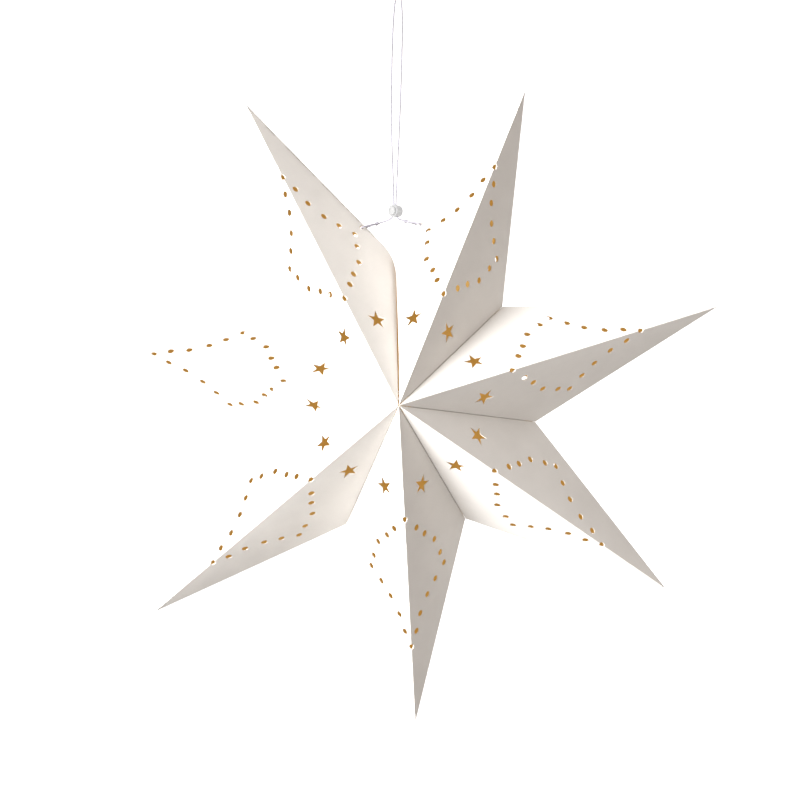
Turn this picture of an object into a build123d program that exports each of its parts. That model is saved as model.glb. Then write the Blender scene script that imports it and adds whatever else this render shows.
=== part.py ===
"""Seven-pointed folded card star shade, hung on a cord with a cord lock.

Millimetres, +Z up. The front peak faces -Y and +X is to the right of someone who
looks at the front. The origin is the hanging point, the top inside of the cord's loop.
"""
import os
from math import cos, pi, radians, sin, tan

from build123d import *

os.makedirs("parts", exist_ok=True)

# ---- Star ----
TIP_RADIUS = 305.0          # middle axis to each tip
VALLEY_RADIUS = 127.5       # middle axis to the valley between two arms
HALF_DEPTH = 105.0          # middle plane to the front peak, and to the back peak
CARD = 0.4                  # thickness of the card
STAR_OFFSET = 1.4           # the star's axis lies this far right of the hanging point
STAR_DROP = 370.0           # and this far below it

# ---- Slit between the first and the last arm ----
SLIT_DIRECTION = 91.2       # degrees from +X towards +Z
FIRST_SLIT_SIDE = 26.4      # degrees from the slit to the first arm's ridge
LAST_SLIT_SIDE = 23.3       # degrees from the slit to the last arm's ridge
FIRST_SLIT_VALLEY = 130.0   # middle axis to the first arm's corner at the slit
LAST_SLIT_VALLEY = 139.0    # middle axis to the last arm's corner at the slit
SLIT_OPENING = 0.7          # degrees between the two free edges
SLIT_CORNER_RADIUS = 44.0   # rounding of both corners, seen from the front

# ---- Glue flaps along the closed valleys ----
FLAP_WIDTH = 12.0
FLAP_PEAK_GAP = 14.0        # left free next to the peaks
FLAP_VALLEY_GAP = 10.0      # left free next to the valley corner

# ---- Punched pattern, measured on the flat panel: along the ridge, off the ridge ----
HOLE_DIAMETER = 6.0
RIDGE_HOLES = [109.0, 240.0]
SIDE_HOLES = [(122, 14), (132, 24), (143.5, 37), (160.5, 44.5), (173.5, 49.5),
              (184, 36), (195, 24), (210, 13.5), (226, 7.5)]
STAR_CUT_PLACE = (83.5, 24.0)   # on the front panels only
STAR_CUT_TIP = 10.0         # radius to the small star's tips
STAR_CUT_NOTCH = 3.9        # radius to its notches
PUNCH_DEPTH = 1.0           # how far a punch reaches to each side of the card's face
OVERCUT_ANGLE = 8.0         # degrees that the hollow's cutting block is wider than the arm

# ---- Cord ----
CORD_DIAMETER = 1.4
CORD_HOLE_ROOM = 2.2        # how much wider each arm's hole is than the cord
CORD_HOLE_FROM_TIP = 154.8  # along the arm's outer edge
CORD_HOLE_INSET = 3.5       # in from that edge
# The cord is one string. It starts in the left knot, goes round through the first arm's
# hole and back, up through the lock, over the hanging point and down to the last arm.
CORD_POINTS = [
    (-20.4, -0.9, -208.7), (-28.1, -6.5, -210.9), (-32.9, -7.8, -212.3),
    (-33.8, -4.0, -212.5), (-33.8, 4.0, -212.5), (-32.9, 7.8, -212.3),
    (-28.1, 6.5, -210.9), (-20.4, 0.9, -208.7), (-4.07, 0.38, -204.0),
    (-4.07, 0.38, -189.8), (-7.2, 0.1, -107.0), (-4.35, 0.0, 0.7),
    (4.35, 0.0, 0.7), (2.2, -0.2, -95.0), (-2.5, -0.85, -189.8),
    (-2.5, -0.85, -204.0), (7.3, -0.9, -206.3), (15.1, -6.5, -208.2),
    (20.0, -7.8, -209.3), (20.95, -4.0, -209.5), (20.95, 4.0, -209.5),
    (20.0, 7.8, -209.3), (15.1, 6.5, -208.2), (7.3, 0.9, -206.3),
]
LOCK_MOUTH_RADIUS = 1.8     # how tightly the cord bends under the lock
LOCK_MOUTH_CORNERS = (8, 15)
KNOTS = {"knot_left": (-19.8, 0.0, -208.5), "knot_right": (6.8, 0.0, -206.2)}
KNOT_TOWARDS = {"knot_left": 8, "knot_right": 15}
KNOT_LENGTH = 4.6
KNOT_DIAMETER = 3.6
KNOT_EDGE = 1.2
RUN_SHARE = 0.45            # most of a run that the bend at one of its ends may take

# ---- Cord lock ----
LOCK_CENTRE = Vector(-3.1, 0.0, -196.9)
LOCK_TURN = 38.0            # degrees that the push button is turned left of straight ahead
BARREL_DIAMETER = 11.0
BARREL_LENGTH = 9.0
BARREL_WALL = 1.3
BARREL_FLOOR = 1.2
BARREL_EDGE = 1.0           # rounding of the closed end
PLUNGER_CLEARANCE = 0.25    # all round, between the plunger and the barrel
PLUNGER_STAND_OUT = 2.0     # how far the push button stands out at rest
PLUNGER_TRAVEL = 1.4
BUTTON_DISH = 0.5           # depth of the round hollow in the button
BUTTON_RIM = 1.6            # width of the ring round that hollow
CORD_WAY_ROOM = 1.1         # how much wider the hole through the barrel is than two cords
CORD_WAY_FROM_END = 5.8     # its middle, from the barrel's closed end
CORD_WAY_CLEARANCE = 0.15   # between the plunger's slot and the cord at rest
SPRING_SPACE = 2.6
SPRING_DIAMETER = 5.0
SPRING_WIRE = 0.35
SPRING_TURNS = 3
SPRING_CLEARANCE = 0.05
SLOT_CORNER = 1.2
SOFT_EDGE = 0.4

# ---- Worked out ----
PEAK_DEPTHS = (HALF_DEPTH, -HALF_DEPTH)
CENTRE = Vector(STAR_OFFSET, 0, -STAR_DROP)
ARM_NAMES = ["arm_upper_left", "arm_left", "arm_lower_left", "arm_bottom",
             "arm_lower_right", "arm_right", "arm_upper_right"]
CORD_HOLE_DIAMETER = CORD_DIAMETER + CORD_HOLE_ROOM
CORD_WAY_DIAMETER = 2 * CORD_DIAMETER + CORD_WAY_ROOM
BORE_DIAMETER = BARREL_DIAMETER - 2 * BARREL_WALL
PLUNGER_DIAMETER = BORE_DIAMETER - 2 * PLUNGER_CLEARANCE
ARM_STEP = (360 - FIRST_SLIT_SIDE - LAST_SLIT_SIDE) / (len(ARM_NAMES) - 1)
HALF_STEP = ARM_STEP / 2


class Arm:
    """Corner points of one arm, from the middle axis out to the tip."""

    def __init__(self, number):
        last = len(ARM_NAMES) - 1
        self.direction = SLIT_DIRECTION + FIRST_SLIT_SIDE + number * ARM_STEP
        self.slit_side = {0: -1, last: 1}.get(number, 0)
        # +1 is the anticlockwise side of the ridge and -1 the clockwise side
        self.half_angle = {1: HALF_STEP, -1: HALF_STEP}
        self.valley = {1: VALLEY_RADIUS, -1: VALLEY_RADIUS}
        if number == 0:
            self.half_angle[-1] = FIRST_SLIT_SIDE
            self.valley[-1] = FIRST_SLIT_VALLEY
        if number == last:
            self.half_angle[1] = LAST_SLIT_SIDE
            self.valley[1] = LAST_SLIT_VALLEY
        self.radial = Vector(cos(radians(self.direction)), 0, sin(radians(self.direction)))
        self.tangent = Vector(-self.radial.Z, 0, self.radial.X)

    def point(self, out, across, front):
        return CENTRE + self.radial * out + self.tangent * across - Vector(0, front, 0)

    def peak(self, depth):
        return self.point(0, 0, depth)

    def tip(self):
        return self.point(TIP_RADIUS, 0, 0)

    def corner(self, side):
        angle = radians(self.half_angle[side])
        return self.point(self.valley[side] * cos(angle), side * self.valley[side] * sin(angle), 0)

    def panel_plane(self, side, depth):
        """The panel's outer face: x runs out along the ridge and z points out of the star."""
        along = self.tip() - self.peak(depth)
        normal = along.cross(self.corner(side) - self.peak(depth)).normalized()
        if normal.Y * depth > 0:
            normal = normal * -1
        return Plane(origin=self.peak(depth), x_dir=along, z_dir=normal)


def small_star(tip, notch, up):
    """Corner points of a five-pointed star, with one tip up (1) or down (-1)."""
    return [(r * cos(radians(90 + 36 * k)), up * r * sin(radians(90 + 36 * k)))
            for k, r in enumerate([tip, notch] * 5)]


def arm_block(arm, card_off):
    """The arm's solid outline, with card_off taken off its four panels."""
    with BuildPart() as block:
        with BuildSketch(Plane(origin=CENTRE, x_dir=arm.radial, z_dir=(0, -1, 0))):
            with BuildLine():
                plan = []
                for side in (1, -1):
                    angle = arm.half_angle[side]
                    if side == arm.slit_side:
                        angle -= SLIT_OPENING / 2
                    if card_off:
                        angle += OVERCUT_ANGLE
                    plan.append((TIP_RADIUS, side * TIP_RADIUS * tan(radians(angle))))
                Polyline((0, 0), plan[0], plan[1], close=True)
            make_face()
        extrude(amount=HALF_DEPTH, both=True)
        for depth in PEAK_DEPTHS:
            for side in (1, -1):
                split(bisect_by=arm.panel_plane(side, depth).offset(-card_off), keep=Keep.BOTTOM)
    return block.part


def punch(arm, side, depth):
    """Holes of one panel, half of each hole on the ridge, and a front panel's small star."""
    face = arm.panel_plane(side, depth)
    across = 1 if face.to_local_coords(arm.corner(side)).Y > 0 else -1
    with BuildSketch(face) as holes:
        with Locations(*[(u, 0) for u in RIDGE_HOLES]):
            Circle(HOLE_DIAMETER / 2)
        with Locations(*[(u, across * v) for u, v in SIDE_HOLES]):
            Circle(HOLE_DIAMETER / 2)
        if depth > 0:
            with Locations((STAR_CUT_PLACE[0], across * STAR_CUT_PLACE[1])):
                Polygon(*small_star(STAR_CUT_TIP, STAR_CUT_NOTCH, across))
    return holes.sketch


def glue_flap(arm, side, depth):
    """A strip folded in along the valley, that is glued to the next arm's strip."""
    peak, corner = arm.peak(depth), arm.corner(side)
    inward = (CENTRE - corner).normalized()
    middle_side = arm.tangent * -side
    normal = inward.cross(corner - peak).normalized()
    if normal.dot(middle_side) < 0:
        normal = normal * -1
    face = Plane(origin=peak, x_dir=corner - peak, z_dir=normal)
    down = 1 if face.to_local_coords(CENTRE).Y > 0 else -1
    length = (corner - peak).length
    with BuildSketch(face) as flap:
        with BuildLine():
            Polyline((FLAP_PEAK_GAP, 0), (length - FLAP_VALLEY_GAP, 0),
                     (length - FLAP_VALLEY_GAP - FLAP_WIDTH, down * FLAP_WIDTH),
                     (FLAP_PEAK_GAP + FLAP_WIDTH, down * FLAP_WIDTH), close=True)
        make_face()
    return flap.sketch


def cord_hole_middle(arm):
    """Where the cord passes through the arm, beside its outer edge at the slit."""
    edge = (arm.corner(arm.slit_side) - arm.tip()).normalized()
    inward = Vector(0, 1, 0).cross(edge)
    if inward.dot(arm.radial) > 0:
        inward = inward * -1
    return arm.tip() + edge * CORD_HOLE_FROM_TIP + inward * CORD_HOLE_INSET


def slit_corner_cut(arm):
    """What the round corner at the slit takes away, seen from the front."""
    corner = arm.corner(arm.slit_side)
    to_tip = (arm.tip() - corner).normalized()
    to_axis = (CENTRE - corner).normalized()
    inward = (to_tip + to_axis).normalized()
    half_corner = radians(to_tip.get_angle(to_axis) / 2)
    reach = SLIT_CORNER_RADIUS / tan(half_corner)
    crown = SLIT_CORNER_RADIUS / sin(half_corner) - SLIT_CORNER_RADIUS
    face = Plane(origin=corner, x_dir=(1, 0, 0), z_dir=(0, -1, 0))
    start, end, top, outside = [face.to_local_coords(corner + step) for step in (
        to_tip * reach, to_axis * reach, inward * crown, inward * -crown)]
    with BuildSketch(face) as cut:
        with BuildLine():
            Polyline(start, outside, end)
            ThreePointArc(end, top, start)
        make_face()
    return cut.sketch


def corner_radii(points, limits):
    """The largest radius that the two runs at each corner leave room for, up to its limit."""
    radii = []
    for number in range(1, len(points) - 1):
        before, here, after = [Vector(*points[number + step]) for step in (-1, 0, 1)]
        turn = radians((here - before).get_angle(after - here))
        room = RUN_SHARE * min((here - before).length, (after - here).length) / tan(turn / 2)
        radii.append(min(room, limits.get(number, room)))
    return radii


def finish(piece, name):
    """Label a finished piece and write it."""
    piece.part.label = name
    export_step(piece.part, f"parts/{name}.step")


# ---- Arms: each is one folded sheet of card ----
cord_holes = {}
for number, name in enumerate(ARM_NAMES):
    arm = Arm(number)
    with BuildPart() as card:
        add(arm_block(arm, 0))
        add(arm_block(arm, CARD), mode=Mode.SUBTRACT)
        for depth in PEAK_DEPTHS:
            for side in (1, -1):
                extrude(punch(arm, side, depth), amount=PUNCH_DEPTH, both=True, mode=Mode.SUBTRACT)
                if side != arm.slit_side:
                    extrude(glue_flap(arm, side, depth), amount=CARD)
        if arm.slit_side:
            extrude(slit_corner_cut(arm), amount=HALF_DEPTH, both=True, mode=Mode.SUBTRACT)
            cord_holes[arm.slit_side] = cord_hole_middle(arm)
            with BuildSketch(Plane(origin=cord_holes[arm.slit_side], z_dir=(0, 1, 0))):
                Circle(CORD_HOLE_DIAMETER / 2)
            extrude(amount=HALF_DEPTH, both=True, mode=Mode.SUBTRACT)
    finish(card, name)

# ---- Hanging cord ----
mouth_limits = {number: LOCK_MOUTH_RADIUS for number in LOCK_MOUTH_CORNERS}
radii = corner_radii(CORD_POINTS, mouth_limits)
print("cord corner radii", [round(radius, 1) for radius in radii])
with BuildPart() as cord:
    with BuildLine() as route:
        FilletPolyline(*CORD_POINTS, radius=radii)
    with BuildSketch(Plane(origin=route.line @ 0, z_dir=route.line % 0)):
        Circle(CORD_DIAMETER / 2)
    sweep()
length = sum(edge.length for edge in route.edges())
section = pi * CORD_DIAMETER**2 / 4
print("cord length", round(length, 1), "volume", round(cord.part.volume, 1),
      "section x length", round(section * length, 1))
finish(cord, "hanging_cord")

# ---- Knots beside the two arms' holes ----
for name, middle in KNOTS.items():
    towards = Vector(*CORD_POINTS[KNOT_TOWARDS[name]]) - Vector(*middle)
    with BuildPart(Plane(origin=middle, z_dir=towards)) as knot:
        Cylinder(radius=KNOT_DIAMETER / 2, height=KNOT_LENGTH)
        fillet(knot.edges().filter_by(GeomType.CIRCLE), radius=KNOT_EDGE)
    finish(knot, name)

# ---- Cord lock: s runs along the barrel, from its closed end to the button ----
lock_axis = Vector(-sin(radians(LOCK_TURN)), -cos(radians(LOCK_TURN)), 0)
lock_length = BARREL_LENGTH + PLUNGER_STAND_OUT
closed_end = LOCK_CENTRE - lock_axis * (lock_length / 2)
barrel_plane = Plane(origin=closed_end, x_dir=(-lock_axis.Y, lock_axis.X, 0), z_dir=lock_axis)
cord_way = closed_end + lock_axis * CORD_WAY_FROM_END
cord_back = CORD_WAY_FROM_END - CORD_DIAMETER / 2

with BuildPart() as barrel:
    with BuildSketch(barrel_plane):
        Circle(BARREL_DIAMETER / 2)
    extrude(amount=BARREL_LENGTH)
    fillet(barrel.faces().sort_by(Axis(closed_end, lock_axis))[0].edges(), radius=BARREL_EDGE)
    fillet(barrel.faces().sort_by(Axis(closed_end, lock_axis))[-1].edges(), radius=SOFT_EDGE)
    with BuildSketch(barrel_plane.offset(BARREL_FLOOR)):
        Circle(BORE_DIAMETER / 2)
    extrude(amount=BARREL_LENGTH, mode=Mode.SUBTRACT)
    with BuildSketch(Plane(origin=cord_way)):
        Circle(CORD_WAY_DIAMETER / 2)
    extrude(amount=BARREL_DIAMETER, both=True, mode=Mode.SUBTRACT)
finish(barrel, "lock_barrel")

plunger_start = BARREL_FLOOR + SPRING_SPACE
slot_back = cord_back - CORD_WAY_CLEARANCE
slot_front = CORD_WAY_FROM_END + CORD_DIAMETER / 2 + PLUNGER_TRAVEL + 2 * CORD_WAY_CLEARANCE
slot_middle = closed_end + lock_axis * ((slot_back + slot_front) / 2)
with BuildPart() as plunger:
    with BuildSketch(barrel_plane.offset(plunger_start)):
        Circle(PLUNGER_DIAMETER / 2)
    extrude(amount=lock_length - plunger_start)
    fillet(plunger.faces().sort_by(Axis(closed_end, lock_axis))[-1].edges(), radius=SOFT_EDGE)
    with BuildSketch(barrel_plane.offset(lock_length)):
        Circle(PLUNGER_DIAMETER / 2 - BUTTON_RIM)
    extrude(amount=-BUTTON_DISH, mode=Mode.SUBTRACT)
    with BuildSketch(Plane(origin=slot_middle, x_dir=lock_axis, z_dir=(0, 0, 1))) as slot:
        Rectangle(slot_front - slot_back, CORD_WAY_DIAMETER)
        fillet(slot.vertices(), radius=SLOT_CORNER)
    extrude(amount=BARREL_DIAMETER, both=True, mode=Mode.SUBTRACT)
finish(plunger, "lock_plunger")

spring_height = SPRING_SPACE - SPRING_WIRE - 2 * SPRING_CLEARANCE
spring_start = closed_end + lock_axis * (BARREL_FLOOR + SPRING_WIRE / 2 + SPRING_CLEARANCE)
with BuildPart() as spring:
    with BuildLine() as coil:
        Helix(pitch=spring_height / SPRING_TURNS, height=spring_height,
              radius=(SPRING_DIAMETER - SPRING_WIRE) / 2, center=spring_start, direction=lock_axis)
    with BuildSketch(Plane(origin=coil.line @ 0, z_dir=coil.line % 0)):
        Circle(SPRING_WIRE / 2)
    sweep(is_frenet=True)
finish(spring, "lock_spring")
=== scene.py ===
"""Seven-pointed folded card star shade on a string: its card, string and cord lock."""

import math

import bmesh
import bpy
import numpy as np
from bpy.props import FloatProperty, FloatVectorProperty, IntProperty, PointerProperty
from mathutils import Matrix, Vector
from mathutils.geometry import delaunay_2d_cdt


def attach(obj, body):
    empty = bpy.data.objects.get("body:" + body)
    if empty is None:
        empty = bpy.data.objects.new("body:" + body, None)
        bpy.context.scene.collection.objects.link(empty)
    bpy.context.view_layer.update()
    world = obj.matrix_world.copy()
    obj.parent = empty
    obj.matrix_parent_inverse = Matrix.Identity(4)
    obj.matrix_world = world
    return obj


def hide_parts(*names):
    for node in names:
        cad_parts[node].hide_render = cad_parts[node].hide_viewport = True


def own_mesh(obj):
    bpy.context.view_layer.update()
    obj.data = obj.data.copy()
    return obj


bl_info = {
    "name": "Folded Card Star",
    "version": (1, 0, 0),
    "blender": (4, 5, 0),
    "location": "3D View > Sidebar > Card Star",
    "description": "Builds a folded card star shade with punched holes, its string and cord lock",
    "category": "Add Mesh",
}

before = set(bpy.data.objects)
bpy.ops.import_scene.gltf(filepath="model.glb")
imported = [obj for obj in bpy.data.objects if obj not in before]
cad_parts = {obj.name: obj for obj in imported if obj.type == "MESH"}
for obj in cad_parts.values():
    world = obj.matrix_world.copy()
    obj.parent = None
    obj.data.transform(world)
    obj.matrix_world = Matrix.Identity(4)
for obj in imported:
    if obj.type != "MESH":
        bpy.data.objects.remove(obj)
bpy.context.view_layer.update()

# ---- The star, in metres ----
CENTRE = Vector((0.0014, 0.0, -0.370))
TIP_RADIUS = 0.305
VALLEY_RADIUS = 0.1275
HALF_DEPTH = 0.105
SLIT_DIRECTION = 91.2
FIRST_SLIT_SIDE = 26.4
LAST_SLIT_SIDE = 23.3
FIRST_SLIT_VALLEY = 0.130
LAST_SLIT_VALLEY = 0.139
SLIT_OPENING = 0.7
SLIT_CORNER_RADIUS = 0.044
SLIT_CROWN_SHARE = 0.25     # a panel with a free edge bows out this much as the others do
ARM_NAMES = ("arm_upper_left", "arm_left", "arm_lower_left", "arm_bottom",
             "arm_lower_right", "arm_right", "arm_upper_right")
ARM_STEP = (360 - FIRST_SLIT_SIDE - LAST_SLIT_SIDE) / (len(ARM_NAMES) - 1)

# ---- The punched pattern, along the ridge and off it ----
HOLE_RADIUS = 0.003
RIDGE_HOLES = (0.109, 0.240)
SIDE_HOLES = ((0.122, 0.014), (0.132, 0.024), (0.1435, 0.037), (0.1605, 0.0445),
              (0.1735, 0.0495), (0.184, 0.036), (0.195, 0.024), (0.210, 0.0135), (0.226, 0.0075))
STAR_CUT_PLACE = (0.0835, 0.024)
STAR_CUT_RADII = (0.010, 0.0039)    # cut in the front panels only
CORD_HOLE_RADIUS = 0.0018
# Seen from the front, as x and z
CORD_HOLES = {"arm_upper_left": (-0.03362, -0.21231), "arm_upper_right": (0.02076, -0.20937)}

# ---- The panels' mesh ----
TWICE_SLIVER_AREA = 2e-8    # a triangle with less keeps its shading to itself
WELD_STEP = 2e-6            # points of two panels that agree to this are one point
PEAK_GAP = 0.0012           # left open at the very peak, where all the panels meet
GRID_WIDTH = 0.12           # more than any panel's width off its ridge
GRID_ROW = 0.866            # distance between two rows, in mesh steps
GRID_TO_OUTLINE = 0.45      # room kept free inside the outline, in mesh steps
GRID_TO_HOLE = 0.3          # room kept free round a hole, in mesh steps
FOLD_ROWS = (0.0012, 0.0034)    # rows of points beside the outer edge
FOLD_ROWS_WIDTH = 0.0060    # the grid starts this far from the outer edge
FOLD_ROWS_TO_OUTLINE = 0.0008
FOLD_ROWS_TO_HOLE = 0.0006
CORNER_STEPS = 16           # round the rounded corner beside the slit

# ---- The glue flaps ----
FLAP_WIDTH = 0.012
FLAP_PEAK_GAP = 0.014
FLAP_VALLEY_GAP = 0.010
FLAP_OFFSET = 0.00012       # from the valley's line to the flap
FLAP_FOLD = 0.0005          # height of the fold between panel and flap
FLAP_START = 0.0006         # height left at a flap's two ends

# ---- The string ----
STRING_DIAMETER = 0.0014
STRING_LENGTH = 0.529
STRING_POINTS = (
    (-0.0204, -0.0009, -0.2087), (-0.0281, -0.0065, -0.2109), (-0.0329, -0.0078, -0.2123),
    (-0.0338, -0.0040, -0.2125), (-0.0338, 0.0040, -0.2125), (-0.0329, 0.0078, -0.2123),
    (-0.0281, 0.0065, -0.2109), (-0.0204, 0.0009, -0.2087), (-0.00407, 0.00038, -0.2040),
    (-0.00407, 0.00038, -0.1898), (-0.0072, 0.0001, -0.1070), (-0.00435, 0.0, 0.0007),
    (0.00435, 0.0, 0.0007), (0.0022, -0.0002, -0.0950), (-0.0025, -0.00085, -0.1898),
    (-0.0025, -0.00085, -0.2040), (0.0073, -0.0009, -0.2063), (0.0151, -0.0065, -0.2082),
    (0.0200, -0.0078, -0.2093), (0.02095, -0.0040, -0.2095), (0.02095, 0.0040, -0.2095),
    (0.0200, 0.0078, -0.2093), (0.0151, 0.0065, -0.2082), (0.0073, 0.0009, -0.2063),
)
KNOT_WIDTH = 0.00125
KNOT_HALF_LENGTH = 0.0011
KNOT_STRING_SHARE = 0.44    # radius of the drawn-tight string, in string diameters
KNOT_POINTS = 48
# Each knot's middle and the way its string runs
KNOTS = {"knot_left": ((-0.0198, 0.0, -0.2085), (-0.971, 0.0, -0.24)),
         "knot_right": ((0.0068, 0.0, -0.2062), (0.972, 0.0, -0.236))}

# ---- The cord lock's spring ----
LOCK_CENTRE = Vector((-0.0031, 0.0, -0.1969))
LOCK_TURN = 38.0
LOCK_HALF_LENGTH = 0.0055
SPRING_FIRST_TURN = 0.001425
SPRING_HEIGHT = 0.00215
SPRING_RADIUS = 0.002325
SPRING_WIRE = 0.00035
SPRING_TURNS = 3
SPRING_STEPS = 24           # points in each turn

# ---- The camera ----
CAMERA_DISTANCE = 1.150
CAMERA_AZIMUTH = 0.50
CAMERA_ELEVATION = 3.08
CAMERA_LENS = 55.75
CAMERA_SHIFT = (0.00014, -0.0016)

# ---- The studio ----
FLOOR_HEIGHT = -1.75
WALL_BEHIND = 1.3
WALL_TOP = 2.0
COVE_RADIUS = 0.40
COVE_STEPS = 12
HALF_WIDTH = 5.0
FLOOR_FRONT = -2.2
KEY_PLACE = (-1.60, -1.43, 0.06)
KEY_SIZE = 1.2
KEY_SPREAD = 50.0


class CardSettings(bpy.types.PropertyGroup):
    """Sizes and colours of the folded card."""

    thickness: FloatProperty(
        name="Card thickness", description="Thickness of the card",
        default=0.0005, min=0.0002, unit="LENGTH")
    hole_wall: FloatProperty(
        name="Hole wall", description="How far a punched hole's wall turns in",
        default=0.0009, min=0.0002, unit="LENGTH")
    crown: FloatProperty(
        name="Crown", description="How far each panel bows out at its middle",
        default=0.0014, min=0.0, unit="LENGTH")
    valley_inset: FloatProperty(
        name="Valley inset", description="Room for the rounded fold into each valley",
        default=0.0005, min=0.0, unit="LENGTH")
    mesh_step: FloatProperty(
        name="Mesh step", description="Distance between the points of a panel's mesh",
        default=0.0065, min=0.003, unit="LENGTH")
    hole_points: IntProperty(
        name="Hole points", description="Points round each punched hole", default=28, min=12)
    outside: FloatVectorProperty(
        name="Outside", description="Colour of the card's outer face",
        subtype="COLOR", default=(0.86, 0.835, 0.80), size=3, min=0, max=1)
    # painted light: this amber stands in for warm daylight let through the white card onto its
    # inner face
    inside: FloatVectorProperty(
        name="Inside", description="Colour of the card's inner face",
        subtype="COLOR", default=(0.58, 0.42, 0.16), size=3, min=0, max=1)
    # painted light: an even glow on the inner face for the daylight the card lets through; the card
    # is no lamp
    glow: FloatProperty(
        name="Inner glow", description="Daylight that the card lets through to its inner face",
        default=0.22, min=0.0)


class StringSettings(bpy.types.PropertyGroup):
    """Sizes and colours of the string and its knots."""

    diameter: FloatProperty(
        name="String diameter", description="Thickness of the string",
        default=STRING_DIAMETER, min=0.0005, unit="LENGTH")
    twist_pitch: FloatProperty(
        name="Twist pitch", description="Length of one turn of the string's strands",
        default=0.0042, min=0.001, unit="LENGTH")
    # painted shade: the string is white; this grey stands in for how it looks in shade
    colour: FloatVectorProperty(
        name="String colour", description="Colour of the string",
        subtype="COLOR", default=(0.34, 0.33, 0.38), size=3, min=0, max=1)


class LockSettings(bpy.types.PropertyGroup):
    """Colours and painted glow of the cord lock."""

    # painted light: the white milky plastic is given dark colours that the glow below lifts evenly;
    # the button is lighter than the barrel because its face is the lit one
    barrel: FloatVectorProperty(
        name="Barrel", description="Colour of the moulded barrel",
        subtype="COLOR", default=(0.09, 0.09, 0.092), size=3, min=0, max=1)
    button: FloatVectorProperty(
        name="Button", description="Colour of the moulded push button",
        subtype="COLOR", default=(0.12, 0.12, 0.119), size=3, min=0, max=1)
    # painted light: an even glow for light soaking through the plastic; the lock is no lamp
    glow: FloatProperty(
        name="Soaked light", description="Daylight that soaks through the milky plastic",
        default=0.42, min=0.0)


class StageSettings(bpy.types.PropertyGroup):
    """The studio round the star."""

    backdrop: FloatVectorProperty(
        name="Backdrop", description="Colour of the floor and backdrop",
        subtype="COLOR", default=(0.72, 0.72, 0.72), size=3, min=0, max=1)
    key_power: FloatProperty(
        name="Key light", description="Power of the large lamp at the left", default=15.2, min=0.0)
    sky: FloatProperty(
        name="Sky", description="Strength of the even light from all sides", default=0.43, min=0.0)


# ---------------------------------------------------------------- materials

def new_material(name):
    """An empty node material with its shader and output."""
    material = bpy.data.materials.new(name)
    material.use_nodes = True
    return material, material.node_tree.nodes, material.node_tree.links


def noise(nodes, links, coords, scale, detail=4.0, roughness=0.6, stretch=None):
    """Fractal noise on object coordinates, drawn out along one axis where stretch is given."""
    texture = nodes.new("ShaderNodeTexNoise")
    texture.inputs["Scale"].default_value = scale
    texture.inputs["Detail"].default_value = detail
    texture.inputs["Roughness"].default_value = roughness
    if stretch:
        mapping = nodes.new("ShaderNodeMapping")
        mapping.inputs["Scale"].default_value = stretch
        links.new(coords, mapping.inputs["Vector"])
        coords = mapping.outputs["Vector"]
    links.new(coords, texture.inputs["Vector"])
    return texture.outputs["Fac"]


def ramp(nodes, links, factor, stops):
    """A colour ramp with the given (place, colour) stops."""
    node = nodes.new("ShaderNodeValToRGB")
    elements = node.color_ramp.elements
    while len(elements) < len(stops):
        elements.new(0.5)
    for element, (place, colour) in zip(elements, stops):
        element.position = place
        element.color = (*colour, 1.0)
    links.new(factor, node.inputs["Fac"])
    return node.outputs["Color"]


def shade(colour, share):
    """The colour made lighter or darker by a share."""
    return tuple(min(1.0, part * share) for part in colour)


def add_bump(nodes, links, shader, height, strength, distance):
    """Surface relief from a height."""
    bump = nodes.new("ShaderNodeBump")
    bump.inputs["Strength"].default_value = strength
    bump.inputs["Distance"].default_value = distance
    links.new(height, bump.inputs["Height"])
    links.new(bump.outputs["Normal"], shader.inputs["Normal"])


def add_heights(nodes, links, first, second, share):
    """Two heights added, the second one times a share."""
    scaled = nodes.new("ShaderNodeMath")
    scaled.operation = "MULTIPLY_ADD"
    scaled.inputs[1].default_value = share
    links.new(second, scaled.inputs[0])
    links.new(first, scaled.inputs[2])
    return scaled.outputs[0]


def card_outside(settings):
    """Uncoated white card: faint cloudiness, fibres and a fine tooth."""
    material, nodes, links = new_material("white_card")
    shader = nodes["Principled BSDF"]
    coords = nodes.new("ShaderNodeTexCoord").outputs["Object"]
    clouds = noise(nodes, links, coords, 26.0, 3.0)
    fibres = noise(nodes, links, coords, 900.0, 5.0, 0.7, (1.0, 0.45, 1.0))
    tone = add_heights(nodes, links, clouds, fibres, 0.5)
    base = tuple(settings.outside)
    links.new(ramp(nodes, links, tone, [(0.45, shade(base, 0.962)), (1.0, shade(base, 1.035))]),
              shader.inputs["Base Color"])
    rough = nodes.new("ShaderNodeMapRange")
    rough.inputs["To Min"].default_value = 0.62
    rough.inputs["To Max"].default_value = 0.86
    links.new(fibres, rough.inputs["Value"])
    links.new(rough.outputs["Result"], shader.inputs["Roughness"])
    shader.inputs["Specular IOR Level"].default_value = 0.28
    tooth = noise(nodes, links, coords, 2600.0, 3.0)
    relief = add_heights(nodes, links, fibres, tooth, 0.5)
    add_bump(nodes, links, shader, relief, 0.22, 0.00018)
    return material


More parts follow.
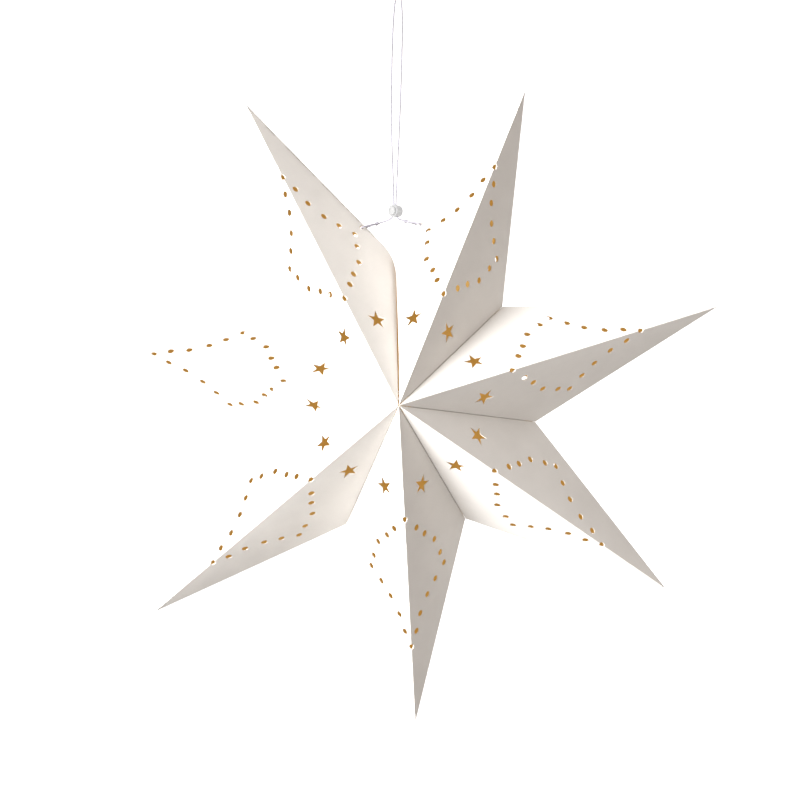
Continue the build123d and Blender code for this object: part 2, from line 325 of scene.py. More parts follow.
def card_inside(settings):
    """The card's inner face, all in painted light: its amber colour and even glow stand in for warm
    daylight let through the white card.
    """
    material, nodes, links = new_material("amber_inside_painted_light")
    shader = nodes["Principled BSDF"]
    coords = nodes.new("ShaderNodeTexCoord").outputs["Object"]
    clouds = noise(nodes, links, coords, 40.0, 4.0)
    base = tuple(settings.inside)
    # painted light: the amber base stands in for warm light let through the card; the clouds vary
    # its tone at random
    links.new(ramp(nodes, links, clouds, [(0.3, shade(base, 0.80)), (0.75, shade(base, 1.12))]),
              shader.inputs["Base Color"])
    shader.inputs["Roughness"].default_value = 0.7
    # painted light: the inner face glows for the daylight let through the card
    shader.inputs["Emission Color"].default_value = (0.85, 0.53, 0.14, 1.0)
    shader.inputs["Emission Strength"].default_value = settings.glow
    fibres = noise(nodes, links, coords, 900.0, 5.0, 0.7)
    add_bump(nodes, links, shader, fibres, 0.2, 0.00018)
    return material


def card_edge():
    """The card's cut edge: rougher than its face, and paler as a painted highlight for the light
    its hole walls catch.
    """
    material, nodes, links = new_material("cut_card_edge")
    shader = nodes["Principled BSDF"]
    coords = nodes.new("ShaderNodeTexCoord").outputs["Object"]
    fuzz = noise(nodes, links, coords, 3200.0, 4.0, 0.7)
    # painted highlight: paler than the card's face so the lit hole walls show as bright rims
    base = (0.90, 0.86, 0.78)
    links.new(ramp(nodes, links, fuzz, [(0.25, shade(base, 0.9)), (0.8, shade(base, 1.08))]),
              shader.inputs["Base Color"])
    shader.inputs["Roughness"].default_value = 0.9
    add_bump(nodes, links, shader, fuzz, 0.4, 0.0002)
    return material


def string_material(settings):
    """Twisted cotton and viscose string: slanting strands with fine lint, in a grey that is painted
    shade on the white string, with painted shade in the grooves between strands.
    """
    material, nodes, links = new_material("white_string")
    shader = nodes["Principled BSDF"]
    texcoord = nodes.new("ShaderNodeTexCoord")
    split = nodes.new("ShaderNodeSeparateXYZ")
    links.new(texcoord.outputs["UV"], split.inputs["Vector"])
    turns = nodes.new("ShaderNodeMath")
    turns.operation = "MULTIPLY_ADD"
    turns.inputs[1].default_value = STRING_LENGTH / settings.twist_pitch
    links.new(split.outputs["X"], turns.inputs[0])
    links.new(split.outputs["Y"], turns.inputs[2])
    wave = nodes.new("ShaderNodeMath")
    wave.operation = "PINGPONG"
    wave.inputs[1].default_value = 0.5
    thrice = nodes.new("ShaderNodeMath")
    thrice.operation = "MULTIPLY"
    thrice.inputs[1].default_value = 3.0
    links.new(turns.outputs[0], thrice.inputs[0])
    links.new(thrice.outputs[0], wave.inputs[0])
    coords = texcoord.outputs["Object"]
    lint = noise(nodes, links, coords, 1800.0, 4.0, 0.7)
    height = add_heights(nodes, links, wave.outputs[0], lint, 0.35)
    base = tuple(settings.colour)
    # painted shade: darker in the grooves between the twisted strands; the lint varies the tone at
    # random
    links.new(ramp(nodes, links, height, [(0.05, shade(base, 0.82)), (0.6, shade(base, 1.08))]),
              shader.inputs["Base Color"])
    shader.inputs["Roughness"].default_value = 0.75
    shader.inputs["Sheen Weight"].default_value = 0.25
    add_bump(nodes, links, shader, height, 0.4, 0.0003)
    return material


def knot_material(settings):
    """The same string where it is tied: strands and lint without a length to follow."""
    material, nodes, links = new_material("tied_string")
    shader = nodes["Principled BSDF"]
    coords = nodes.new("ShaderNodeTexCoord").outputs["Object"]
    lint = noise(nodes, links, coords, 1500.0, 5.0, 0.7)
    # painted shade: the same grey that stands in for the white string in shade
    base = tuple(settings.colour)
    links.new(ramp(nodes, links, lint, [(0.25, shade(base, 0.78)), (0.75, shade(base, 1.1))]),
              shader.inputs["Base Color"])
    shader.inputs["Roughness"].default_value = 0.78
    shader.inputs["Sheen Weight"].default_value = 0.25
    add_bump(nodes, links, shader, lint, 0.6, 0.0003)
    return material


def moulded(name, colour, glow, rough):
    """Milky moulded plastic with a sparked skin and faint flow marks, and an even glow that is
    painted light for the light soaking into it.
    """
    material, nodes, links = new_material(name)
    shader = nodes["Principled BSDF"]
    coords = nodes.new("ShaderNodeTexCoord").outputs["Object"]
    flow = noise(nodes, links, coords, 220.0, 3.0)
    skin = noise(nodes, links, coords, 5200.0, 3.0)
    links.new(ramp(nodes, links, flow, [(0.3, shade(colour, 0.93)), (0.7, shade(colour, 1.06))]),
              shader.inputs["Base Color"])
    spread = nodes.new("ShaderNodeMapRange")
    spread.inputs["To Min"].default_value = rough - 0.08
    spread.inputs["To Max"].default_value = rough + 0.1
    links.new(skin, spread.inputs["Value"])
    links.new(spread.outputs["Result"], shader.inputs["Roughness"])
    # painted light: the plastic glows evenly for light soaking into it
    shader.inputs["Emission Color"].default_value = (1.0, 1.0, 1.0, 1.0)
    shader.inputs["Emission Strength"].default_value = glow
    shader.inputs["Coat Weight"].default_value = 0.15
    shader.inputs["Coat Roughness"].default_value = 0.3
    add_bump(nodes, links, shader, skin, 0.12, 0.0001)
    return material


def spring_material():
    """Drawn spring wire."""
    material, nodes, links = new_material("spring_wire")
    shader = nodes["Principled BSDF"]
    coords = nodes.new("ShaderNodeTexCoord").outputs["Object"]
    drawn = noise(nodes, links, coords, 4000.0, 3.0)
    links.new(ramp(nodes, links, drawn, [(0.3, (0.42, 0.42, 0.43)), (0.7, (0.62, 0.62, 0.63))]),
              shader.inputs["Base Color"])
    shader.inputs["Metallic"].default_value = 1.0
    shader.inputs["Roughness"].default_value = 0.32
    add_bump(nodes, links, shader, drawn, 0.1, 0.0001)
    return material


def paint(node, material):
    """Give a carried-over CAD node its material."""
    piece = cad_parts[node]
    for slot in piece.material_slots:
        slot.material = material
    if not piece.material_slots:
        piece.data.materials.append(material)


# ---------------------------------------------------------------- folded card

class Arm:
    """One arm: its direction, its two valleys and its own axes."""

    def __init__(self, number):
        last = len(ARM_NAMES) - 1
        angle = math.radians(SLIT_DIRECTION + FIRST_SLIT_SIDE + number * ARM_STEP)
        self.name = ARM_NAMES[number]
        self.slit_side = {0: -1, last: 1}.get(number, 0)
        self.half_angle = {1: ARM_STEP / 2, -1: ARM_STEP / 2}
        self.valley = {1: VALLEY_RADIUS, -1: VALLEY_RADIUS}
        if number == 0:
            self.half_angle[-1], self.valley[-1] = FIRST_SLIT_SIDE, FIRST_SLIT_VALLEY
        if number == last:
            self.half_angle[1], self.valley[1] = LAST_SLIT_SIDE, LAST_SLIT_VALLEY
        self.radial = Vector((math.cos(angle), 0, math.sin(angle)))
        self.tangent = Vector((-self.radial.z, 0, self.radial.x))

    def to_world(self, local):
        """The place in the scene of a point given as out, across and front."""
        out, across, front = local
        return CENTRE + self.radial * out + self.tangent * across + Vector((0, -front, 0))

    def to_plan(self, x, z):
        """Out and across of a place seen from the front."""
        step = Vector((x, 0, z)) - CENTRE
        return step.dot(self.radial), step.dot(self.tangent)


class Panel:
    """One of an arm's four flat faces, in its own flat axes."""

    def __init__(self, half_angle, valley, side, depth):
        angle = math.radians(half_angle)
        self.side = side
        self.peak = np.array([0, 0, depth])
        self.tip = np.array([TIP_RADIUS, 0, 0])
        self.corner = np.array([valley * math.cos(angle), side * valley * math.sin(angle), 0])
        along = self.tip - self.peak
        self.length = np.linalg.norm(along)
        self.x = along / self.length
        to_corner = self.corner - self.peak
        off = to_corner - self.x * to_corner.dot(self.x)
        self.y = off / np.linalg.norm(off)
        normal = np.cross(self.x, self.y)
        self.normal = normal if normal[2] * depth > 0 else -normal

    def lift(self, flat):
        """A flat point folded into its place."""
        return self.peak + self.x * flat[0] + self.y * flat[1]

    def flatten(self, out, across):
        """The flat point that lies straight behind or in front of a place in plan."""
        columns = np.array([[self.x[0], self.y[0]], [self.x[1], self.y[1]]])
        return np.linalg.solve(columns, np.array([out, across]) - self.peak[:2])


def stations(start, end, step):
    """Evenly spaced points from start up to, but not at, end."""
    start, end = np.array(start, float), np.array(end, float)
    count = max(1, round(float(np.linalg.norm(end - start)) / step))
    return [tuple(start + (end - start) * k / count) for k in range(count)]


def ridge_run(panel, start, step, hole_points):
    """Along the ridge to the tip, with half of each hole that lies on it."""
    run, place = [], start
    for hole in RIDGE_HOLES:
        run += [(p, "ridge") for p in stations((place, 0), (hole - HOLE_RADIUS, 0), step)]
        half = hole_points // 2
        for k in range(half + 1):
            angle = math.pi - math.pi * k / half
            tag = "ridge_hole" if k in (0, half) else "hole"
            run.append(((hole + HOLE_RADIUS * math.cos(angle), HOLE_RADIUS * math.sin(angle)), tag))
        place = hole + HOLE_RADIUS
        run.pop()
    run += [(p, "ridge") for p in stations((place, 0), (panel.length, 0), step)]
    return run


def outer_run(panel, valley_start, corner, rounded, step):
    """From the tip along the outer edge, round the corner and back up the valley."""
    tip = (panel.length, 0.0)
    if not rounded:
        run = [(p, "edge") for p in stations(tip, corner, step)]
        run[0] = (tip, "tip")
        return run + [(p, "valley") for p in stations(corner, valley_start, step)]
    plan = [panel.lift(place)[:2] for place in (tip, corner, valley_start)]
    to_tip = (plan[0] - plan[1]) / np.linalg.norm(plan[0] - plan[1])
    to_axis = (plan[2] - plan[1]) / np.linalg.norm(plan[2] - plan[1])
    half = math.acos(float(to_tip.dot(to_axis))) / 2
    reach = SLIT_CORNER_RADIUS / math.tan(half)
    inward = (to_tip + to_axis) / np.linalg.norm(to_tip + to_axis)
    middle = plan[1] + inward * SLIT_CORNER_RADIUS / math.sin(half)
    ends = [plan[1] + way * reach - middle for way in (to_tip, to_axis)]
    angles = [math.atan2(end[1], end[0]) for end in ends]
    turn = (angles[1] - angles[0] + math.pi) % (2 * math.pi) - math.pi
    arc = []
    for k in range(CORNER_STEPS + 1):
        angle = angles[0] + turn * k / CORNER_STEPS
        out, across = middle + SLIT_CORNER_RADIUS * np.array([math.cos(angle), math.sin(angle)])
        arc.append(tuple(panel.flatten(out, across)))
    run = [(p, "edge") for p in stations(tip, arc[0], step)]
    run[0] = (tip, "tip")
    run.append((arc[0], "edge"))
    run += [(p, "free") for p in arc[1:]]
    return run + [(p, "free") for p in stations(arc[-1], valley_start, step)][1:]


def ring(centre, radius, count):
    """Points round a hole."""
    return [(centre[0] + radius * math.cos(2 * math.pi * k / count),
             centre[1] + radius * math.sin(2 * math.pi * k / count)) for k in range(count)]


def star_ring():
    """The small star's outline, one tip pointing away from the ridge."""
    return [(STAR_CUT_PLACE[0] + r * math.cos(math.radians(90 + 36 * k)),
             STAR_CUT_PLACE[1] + r * math.sin(math.radians(90 + 36 * k)))
            for k, r in enumerate(STAR_CUT_RADII * 5)]


def inside(points, loop):
    """Which points lie inside a closed loop."""
    x, y = points[:, 0], points[:, 1]
    found = np.zeros(len(points), bool)
    for a, b in zip(loop, loop[1:] + loop[:1]):
        crosses = (a[1] > y) != (b[1] > y)
        with np.errstate(divide="ignore", invalid="ignore"):
            reach = (b[0] - a[0]) * (y - a[1]) / (b[1] - a[1]) + a[0]
        found ^= crosses & (x < reach)
    return found


def gap_to(points, loop):
    """Distance of each point from a closed loop."""
    best = np.full(len(points), np.inf)
    for a, b in zip(loop, loop[1:] + loop[:1]):
        a, b = np.array(a), np.array(b)
        run = b - a
        t = np.clip((points - a) @ run / max(run @ run, 1e-18), 0, 1)
        best = np.minimum(best, np.linalg.norm(points - (a + t[:, None] * run), axis=1))
    return best


def cut_panel(panel, starred, rounded, cord_hole, settings):
    """Flat points, tags and triangles of one panel with all its holes."""
    step, start = settings.mesh_step, PEAK_GAP
    slope = panel.corner - panel.peak
    corner = np.array([slope.dot(panel.x), slope.dot(panel.y)])
    tip = np.array([panel.length, 0.0])
    corner = corner + (tip - corner) / np.linalg.norm(tip - corner) * settings.valley_inset
    outline = ridge_run(panel, start, step, settings.hole_points)
    outline += outer_run(panel, (start, 0.0), tuple(corner), rounded, step)
    holes = [ring(place, HOLE_RADIUS, settings.hole_points) for place in SIDE_HOLES]
    if starred:
        holes.append(star_ring())
    if cord_hole is not None:
        holes.append([tuple(panel.flatten(*place))
                      for place in ring(cord_hole, CORD_HOLE_RADIUS, settings.hole_points)])
    loops = [[place for place, _tag in outline]] + holes
    tags = [tag for _place, tag in outline]
    tags += ["hole"] * sum(len(hole) for hole in holes)
    flat = [place for loop in loops for place in loop]
    edges, first = [], 0
    for loop in loops:
        edges += [(first + k, first + (k + 1) % len(loop)) for k in range(len(loop))]
        first += len(loop)
    rows = np.arange(0, panel.length, step)
    columns = np.arange(0, GRID_WIDTH, step * GRID_ROW)
    grid = np.array([(u + (k % 2) * step / 2, v) for k, v in enumerate(columns) for u in rows])
    bend = np.array([place for offset in FOLD_ROWS for place in beside(tip, corner, offset, step)])
    near_bend = gap_to(grid, [tuple(tip), tuple(corner)]) < FOLD_ROWS_WIDTH
    keep = inside(grid, loops[0]) & (gap_to(grid, loops[0]) > step * GRID_TO_OUTLINE)
    keep &= ~near_bend
    for hole in holes:
        keep &= ~inside(grid, hole) & (gap_to(grid, hole) > step * GRID_TO_HOLE)
    keep_bend = inside(bend, loops[0]) & (gap_to(bend, loops[0]) > FOLD_ROWS_TO_OUTLINE)
    for hole in holes:
        keep_bend &= ~inside(bend, hole) & (gap_to(bend, hole) > FOLD_ROWS_TO_HOLE)
    extra = [tuple(p) for p in grid[keep]] + [tuple(p) for p in bend[keep_bend]]
    tags += ["face"] * len(extra)
    found = delaunay_2d_cdt([Vector(p) for p in flat + extra], edges, [], 0, 1e-7)
    points = np.array([(p.x, p.y) for p in found[0]])
    tags = [tags[source[0]] if source else "face" for source in found[3]]
    triangles = np.array([face for face in found[2] if len(face) == 3])
    middles = points[triangles].mean(axis=1)
    keep = inside(middles, loops[0])
    for hole in holes:
        keep &= ~inside(middles, hole)
    return points, tags, triangles[keep]


def beside(start, end, offset, step):
    """A row of points beside the line from start to end, on its left."""
    run = (end - start) / np.linalg.norm(end - start)
    side = np.array([-run[1], run[0]])
    return [np.array(p) + side * offset for p in stations(tuple(start), tuple(end), step)]


def fold_arm(arm, settings):
    """The arm's outer skin: points, faces, sharp folds, and the flat faces round each point."""
    skin = {"points": [], "faces": [], "planes": [], "deep": [], "sharp": set(), "seen": {}}
    for side in (1, -1):
        rounded = side == arm.slit_side
        angle = arm.half_angle[side] - (SLIT_OPENING / 2 if rounded else 0)
        hole = arm.to_plan(*CORD_HOLES[arm.name]) if rounded else None
        for depth in (HALF_DEPTH, -HALF_DEPTH):
            panel = Panel(angle, arm.valley[side], side, depth)
            cut = cut_panel(panel, depth > 0, rounded, hole, settings)
            fold_panel(skin, panel, cut, rounded, angle, settings)
    return skin


def crown_height(panel, points, settings):
    """How far the card bows out at each flat point: nothing at its folds, most at its middle."""
    slope = panel.corner - panel.peak
    corner = (slope.dot(panel.x), slope.dot(panel.y))
    third = points[:, 1] / corner[1]
    second = (points[:, 0] - third * corner[0]) / panel.length
    first = 1 - second - third
    product = np.clip(27 * first * second * third, 0, 1)
    return settings.crown * product


def add_point(skin, place, plane, deep, weld):
    """A point of the skin, shared with the neighbouring face where they meet at a fold."""
    key = tuple(np.round(place / WELD_STEP).astype(int)) if weld else None
    if weld and key in skin["seen"]:
        number = skin["seen"][key]
        skin["planes"][number].append(plane)
        return number
    skin["points"].append(place)
    skin["planes"].append([plane])
    skin["deep"].append(deep)
    if weld:
        skin["seen"][key] = len(skin["points"]) - 1
    return len(skin["points"]) - 1


def fold_panel(skin, panel, cut, rounded, angle, settings):
    """Put one cut panel in its place and fold its glue flap into the valley."""
    points, tags, triangles = cut
    heights = crown_height(panel, points, settings) * (SLIT_CROWN_SHARE if rounded else 1)
    numbers = []
    for flat, tag, height in zip(points, tags, heights):
        bowed = tag in ("face", "hole", "free")
        place = panel.lift(flat) + panel.normal * (height if bowed else 0)
        weld = tag in ("ridge", "ridge_hole", "edge", "tip")
        deep = tag in ("hole", "ridge_hole")
        numbers.append(add_point(skin, place, tuple(panel.normal), deep, weld))
    ridge = {numbers[k] for k, tag in enumerate(tags) if tag in ("ridge", "ridge_hole", "tip")}
    for face in triangles:
        a, b, c = (np.array(points[k]) for k in face)
        twice_area = (b[0] - a[0]) * (c[1] - a[1]) - (b[1] - a[1]) * (c[0] - a[0])
        outward = (np.cross(panel.x, panel.y).dot(panel.normal) > 0) == (twice_area > 0)
        order = [numbers[k] for k in (face if outward else face[::-1])]
        skin["faces"].append(order)
        for one, two in zip(order, order[1:] + order[:1]):
            if (one in ridge and two in ridge) or abs(twice_area) < TWICE_SLIVER_AREA:
                skin["sharp"].add(frozenset((one, two)))
    if not rounded:
        fold_flap(skin, panel, points, tags, numbers, angle)


def fold_flap(skin, panel, points, tags, numbers, angle):
    """The strip folded in along a valley, that is glued to the next arm's strip."""
    line = [k for k, tag in enumerate(tags) if tag == "valley"]
    line.append(int(np.argmin(np.linalg.norm(points, axis=1))))
    line.sort(key=lambda k: np.linalg.norm(points[k]))
    turn = math.radians(angle)
    wall = np.array([math.cos(turn), panel.side * math.sin(turn), 0.0])
    own_side = np.array([math.sin(turn), -panel.side * math.cos(turn), 0.0])
    run = panel.corner - panel.peak
    length = np.linalg.norm(run)
    run = run / length
    inward = -wall - run * run.dot(-wall)
    inward /= np.linalg.norm(inward)
    rows = []
    for k in line:
        place = skin["points"][numbers[k]]
        along = float((place - panel.peak).dot(run))
        foot = panel.peak + run * along
        depth = max(0.0, min(FLAP_WIDTH, along - FLAP_PEAK_GAP, length - FLAP_VALLEY_GAP - along))
        bend = foot + own_side * FLAP_OFFSET + inward * FLAP_FOLD
        low = foot + own_side * FLAP_OFFSET + inward * (FLAP_START + depth)
        plane = tuple(-own_side)
        skin["planes"][numbers[k]].append(plane)
        rows.append((numbers[k], add_point(skin, bend, plane, False, False),
                     add_point(skin, low, plane, False, False)))
    for (a0, a1, a2), (b0, b1, b2) in zip(rows, rows[1:]):
        for quad in ([a0, b0, b1, a1], [a1, b1, b2, a2]):
            corners = [skin["points"][k] for k in quad]
            normal = np.cross(corners[1] - corners[0], corners[3] - corners[0])
            skin["faces"].append(quad if normal.dot(-own_side) > 0 else quad[::-1])
        skin["sharp"].add(frozenset((a0, b0)))


def thicken(skin, settings):
    """Inner points: each lies one card thickness behind all the faces that meet there."""
    inner = []
    for place, planes, deep in zip(skin["points"], skin["planes"], skin["deep"]):
        thickness = settings.hole_wall if deep else settings.thickness
        normals = np.array(sorted(set(planes)))
        step = np.linalg.pinv(normals) @ np.full(len(normals), -thickness)
        longest = 4 * thickness
        if np.linalg.norm(step) > longest:
            step *= longest / np.linalg.norm(step)
        inner.append(place + step)
    return inner


def card_mesh(arm, skin, settings):
    """A closed sheet of card from its outer skin."""
    inner = thicken(skin, settings)
    count = len(skin["points"])
    faces = [tuple(face) for face in skin["faces"]]
    sides = {}
    for face in faces:
        for one, two in zip(face, face[1:] + face[:1]):
            sides.setdefault(frozenset((one, two)), []).append((one, two))
    rims = [found[0] for found in sides.values() if len(found) == 1]
    inner_faces = [tuple(k + count for k in reversed(face)) for face in faces]
    rim_faces = [(two, one, one + count, two + count) for one, two in rims]
    mesh = bpy.data.meshes.new(arm.name)
    mesh.from_pydata([arm.to_world(place) for place in skin["points"] + inner], [],
                     faces + inner_faces + rim_faces)
    material = [0] * len(faces) + [1] * len(inner_faces) + [2] * len(rim_faces)
    mesh.polygons.foreach_set("material_index", material)
    mesh.polygons.foreach_set("use_smooth", [True] * len(material))
    sharp = set(skin["sharp"]) | {frozenset(rim) for rim in rims}
    sharp |= {frozenset(k + count for k in pair) for pair in sharp}
    mesh.update()
    for edge in mesh.edges:
        if frozenset(edge.vertices) in sharp:
            edge.use_edge_sharp = True
    work = bmesh.new()
    work.from_mesh(mesh)
    bmesh.ops.recalc_face_normals(work, faces=work.faces)
    work.to_mesh(mesh)
    work.free()
    return mesh


# ---------------------------------------------------------------- operators

def settings_of(context):
    """The scene's settings for every piece."""
    scene = context.scene
    return scene.star_card, scene.star_string, scene.star_lock, scene.star_stage


def add_piece(name, data):
    """A new object in the scene."""
    piece = bpy.data.objects.new(name, data)
    bpy.context.scene.collection.objects.link(piece)
    return piece


def swept_mesh(name, places, radius, closed, material):
    """The mesh of a round string or wire along a run of points."""
    curve = bpy.data.curves.new(name + "_path", "CURVE")
    curve.dimensions = "3D"
    spline = curve.splines.new("NURBS")
    spline.points.add(len(places) - 1)
    for point, place in zip(spline.points, places):
        point.co = (*place, 1.0)
    spline.order_u = 4
    spline.use_cyclic_u = closed
    spline.use_endpoint_u = not closed
    curve.use_fill_caps = not closed
    curve.bevel_depth = radius
    curve.bevel_resolution = 5
    shape = add_piece(name + "_shape", curve)
    context = bpy.context.evaluated_depsgraph_get()
    mesh = bpy.data.meshes.new_from_object(shape.evaluated_get(context))
    bpy.data.objects.remove(shape)
    mesh.materials.clear()
    mesh.materials.append(material)
    mesh.polygons.foreach_set("use_smooth", [True] * len(mesh.polygons))
    return mesh


class STAR_OT_camera(bpy.types.Operator):
    """Place the camera in front of the star"""

    bl_idname = "star.camera"
    bl_label = "Place Camera"

    def execute(self, context):
        azimuth, elevation = math.radians(CAMERA_AZIMUTH), math.radians(CAMERA_ELEVATION)
        back = Vector((math.sin(azimuth) * math.cos(elevation),
                       -math.cos(azimuth) * math.cos(elevation), math.sin(elevation)))
        data = bpy.data.cameras.new("camera")
        data.lens = CAMERA_LENS
        data.sensor_width = 36.0
        data.shift_x, data.shift_y = CAMERA_SHIFT
        camera = add_piece("camera", data)
        camera.location = CENTRE + back * CAMERA_DISTANCE
        camera.rotation_mode = "QUATERNION"
        camera.rotation_quaternion = (-back).to_track_quat("-Z", "Y")
        context.scene.camera = camera
        return {"FINISHED"}


class STAR_OT_string(bpy.types.Operator):
    """Lay the one string that closes the slit and hangs the star, and tie its knots"""

    bl_idname = "star.string"
    bl_label = "String and Knots"

    def execute(self, context):
        settings = settings_of(context)[1]
        curve = bpy.data.curves.new("string", "CURVE")
        curve.dimensions = "3D"
        spline = curve.splines.new("NURBS")
        spline.points.add(len(STRING_POINTS) - 1)
        for point, place in zip(spline.points, STRING_POINTS):
            point.co = (*place, 1.0)
        spline.order_u = 3
        spline.use_endpoint_u = True
        spline.resolution_u = 12
        curve.bevel_depth = settings.diameter / 2
        curve.bevel_resolution = 4
        curve.use_fill_caps = True
        curve.materials.append(string_material(settings))
        string = add_piece("string", curve)
        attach(string, "hanger")
        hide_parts("hanging_cord")
        tied = knot_material(settings)
        knots = [self.tie(node, middle, direction, settings, tied)
                 for node, (middle, direction) in KNOTS.items()]
        return {"FINISHED"}

    def tie(self, node, middle, direction, settings, material):
        """An overhand knot: a trefoil of string pulled tight along the string's run."""
        along = Vector(direction).normalized()
        side = Vector((0, 1, 0)).cross(along).normalized()
        up = along.cross(side)
        places = []
        for k in range(KNOT_POINTS):
            t = 2 * math.pi * k / KNOT_POINTS
            across = (math.sin(t) + 2 * math.sin(2 * t)) / 3
            over = (math.cos(t) - 2 * math.cos(2 * t)) / 3
            lift = -math.sin(3 * t)
            places.append(Vector(middle) + (side * across + up * over) * KNOT_WIDTH
                          + along * lift * KNOT_HALF_LENGTH)
        mesh = swept_mesh(node, places, settings.diameter * KNOT_STRING_SHARE, True, material)
        knot = add_piece("tied_" + node, mesh)
        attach(knot, "hanger")
        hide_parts(node)
        return knot


class STAR_OT_arms(bpy.types.Operator):
    """Fold the seven arms from card and punch their holes"""

    bl_idname = "star.arms"
    bl_label = "Folded Arms"

    def execute(self, context):
        settings = settings_of(context)[0]
        materials = card_outside(settings), card_inside(settings), card_edge()
        for number in range(len(ARM_NAMES)):
            arm = Arm(number)
            mesh = card_mesh(arm, fold_arm(arm, settings), settings)
            for material in materials:
                mesh.materials.append(material)
            piece = add_piece("card_" + arm.name, mesh)
            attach(piece, arm.name)
            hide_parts(arm.name)
            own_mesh(piece)
        return {"FINISHED"}


class STAR_OT_cord_lock(bpy.types.Operator):
    """Finish the cord lock's barrel, push button and spring"""

    bl_idname = "star.cord_lock"
    bl_label = "Cord Lock"

    def execute(self, context):
        settings = settings_of(context)[2]
        paint("lock_barrel", moulded("milky_barrel", tuple(settings.barrel), settings.glow, 0.42))
        paint("lock_plunger", moulded("milky_button", tuple(settings.button), settings.glow, 0.38))
        self.spring(spring_material())
        return {"FINISHED"}

    def spring(self, material):
        """The coil behind the button, which closes up as the button is pressed; this mesh keeps one
        fixed length.
        """
        turn = math.radians(LOCK_TURN)
        along = Vector((-math.sin(turn), -math.cos(turn), 0))
        side, up = Vector((-along.y, along.x, 0)), Vector((0, 0, 1))
        closed_end = LOCK_CENTRE - along * LOCK_HALF_LENGTH
        count = SPRING_STEPS * SPRING_TURNS
        places = []
        for k in range(count + 1):
            angle = 2 * math.pi * SPRING_TURNS * k / count
            places.append(closed_end + along * (SPRING_FIRST_TURN + SPRING_HEIGHT * k / count)
                          + (side * math.cos(angle) + up * math.sin(angle)) * SPRING_RADIUS)
        mesh = swept_mesh("lock_coil", places, SPRING_WIRE / 2, False, material)
        spring = add_piece("lock_coil", mesh)
        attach(spring, "cord_lock")
        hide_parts("lock_spring")
        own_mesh(spring)


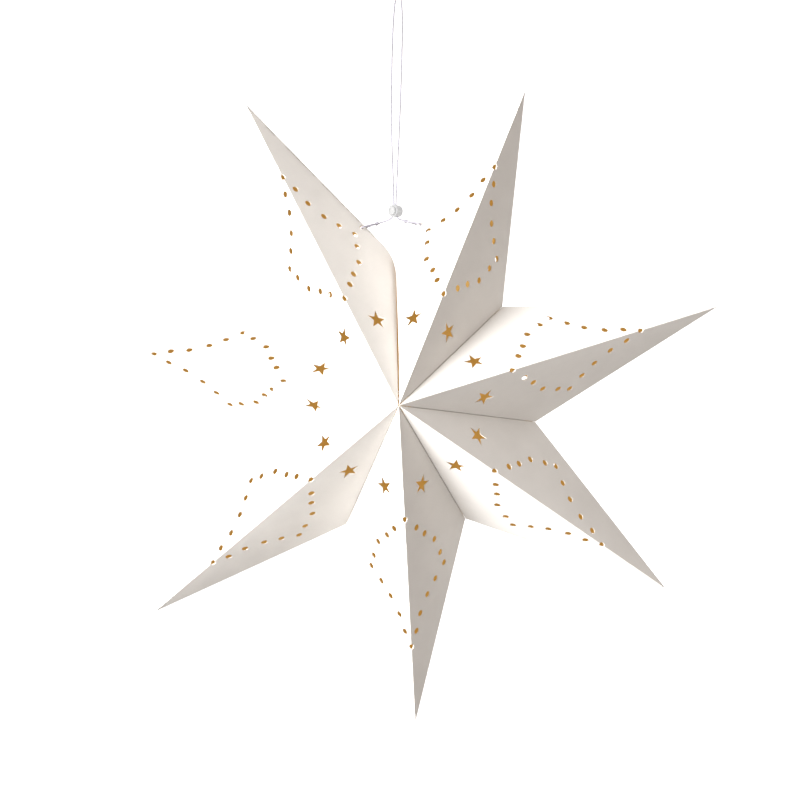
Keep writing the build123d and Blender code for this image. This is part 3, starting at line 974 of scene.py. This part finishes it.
class STAR_OT_stage(bpy.types.Operator):
    """Set up the pale floor and backdrop, the sky light and the key lamp"""

    bl_idname = "star.stage"
    bl_label = "Studio Stage"

    def execute(self, context):
        settings = settings_of(context)[3]
        floor = self.sweep_backdrop(settings)
        world = bpy.data.worlds.new("studio")
        world.use_nodes = True
        background = world.node_tree.nodes["Background"]
        background.inputs["Color"].default_value = (1.0, 0.912, 0.843, 1.0)
        background.inputs["Strength"].default_value = settings.sky
        context.scene.world = world
        self.lamp("key_lamp", settings.key_power)
        context.scene.view_settings.view_transform = "Standard"
        return {"FINISHED"}

    def lamp(self, name, power):
        """A square soft box that faces the star."""
        data = bpy.data.lights.new(name, "AREA")
        data.size = KEY_SIZE
        data.energy = power
        data.spread = math.radians(KEY_SPREAD)
        lamp = add_piece(name, data)
        lamp.location = KEY_PLACE
        lamp.rotation_mode = "QUATERNION"
        lamp.rotation_quaternion = (CENTRE - Vector(KEY_PLACE)).to_track_quat("-Z", "Y")

    def sweep_backdrop(self, settings):
        """A floor that curves up into a wall behind the star."""
        start, top = WALL_BEHIND - COVE_RADIUS, FLOOR_HEIGHT + COVE_RADIUS
        profile = [(FLOOR_FRONT, FLOOR_HEIGHT), (start, FLOOR_HEIGHT)]
        profile += [(start + COVE_RADIUS * math.sin(a), top - COVE_RADIUS * math.cos(a))
                    for a in (math.pi / 2 * k / COVE_STEPS for k in range(1, COVE_STEPS + 1))]
        profile.append((WALL_BEHIND, WALL_TOP))
        corners = [(x, y, z) for y, z in profile for x in (-HALF_WIDTH, HALF_WIDTH)]
        quads = [(2 * k, 2 * k + 1, 2 * k + 3, 2 * k + 2) for k in range(len(profile) - 1)]
        mesh = bpy.data.meshes.new("backdrop")
        mesh.from_pydata(corners, [], quads)
        mesh.polygons.foreach_set("use_smooth", [True] * len(quads))
        material, nodes, links = new_material("pale_backdrop")
        shader = nodes["Principled BSDF"]
        shader.inputs["Base Color"].default_value = (*settings.backdrop, 1.0)
        shader.inputs["Roughness"].default_value = 0.9
        shader.inputs["Emission Color"].default_value = (1.0, 1.0, 1.0, 1.0)
        height = nodes.new("ShaderNodeSeparateXYZ")
        links.new(nodes.new("ShaderNodeTexCoord").outputs["Object"], height.inputs["Vector"])
        wash = nodes.new("ShaderNodeMapRange")
        wash.inputs["From Min"].default_value = FLOOR_HEIGHT
        wash.inputs["From Max"].default_value = FLOOR_HEIGHT + COVE_RADIUS
        wash.inputs["To Min"].default_value = 0.0
        wash.inputs["To Max"].default_value = 1.0
        links.new(height.outputs["Z"], wash.inputs["Value"])
        links.new(wash.outputs["Result"], shader.inputs["Emission Strength"])
        mesh.materials.append(material)
        return add_piece("backdrop", mesh)


class STAR_PT_panel(bpy.types.Panel):
    """The pieces of the star, in the order they are made."""

    bl_label = "Card Star"
    bl_idname = "STAR_PT_panel"
    bl_space_type = "VIEW_3D"
    bl_region_type = "UI"
    bl_category = "Card Star"

    def draw(self, context):
        column = self.layout.column(align=True)
        for operator in OPERATORS:
            column.operator(operator.bl_idname)
        for group in settings_of(context):
            box = self.layout.box()
            for name in group.bl_rna.properties.keys():
                if name not in ("rna_type", "name"):
                    box.prop(group, name)


SETTINGS = {"star_card": CardSettings, "star_string": StringSettings,
            "star_lock": LockSettings, "star_stage": StageSettings}
OPERATORS = (STAR_OT_camera, STAR_OT_cord_lock, STAR_OT_string, STAR_OT_arms, STAR_OT_stage)
CLASSES = (*SETTINGS.values(), *OPERATORS, STAR_PT_panel)


def register():
    for each in CLASSES:
        bpy.utils.register_class(each)
    for name, group in SETTINGS.items():
        setattr(bpy.types.Scene, name, PointerProperty(type=group))


def unregister():
    for name in SETTINGS:
        delattr(bpy.types.Scene, name)
    for each in reversed(CLASSES):
        bpy.utils.unregister_class(each)


def main():
    """Build every piece in order."""
    register()
    bpy.ops.star.camera()
    bpy.ops.star.cord_lock()
    bpy.ops.star.string()
    bpy.ops.star.arms()
    bpy.ops.star.stage()


if __name__ == "__main__":
    main()
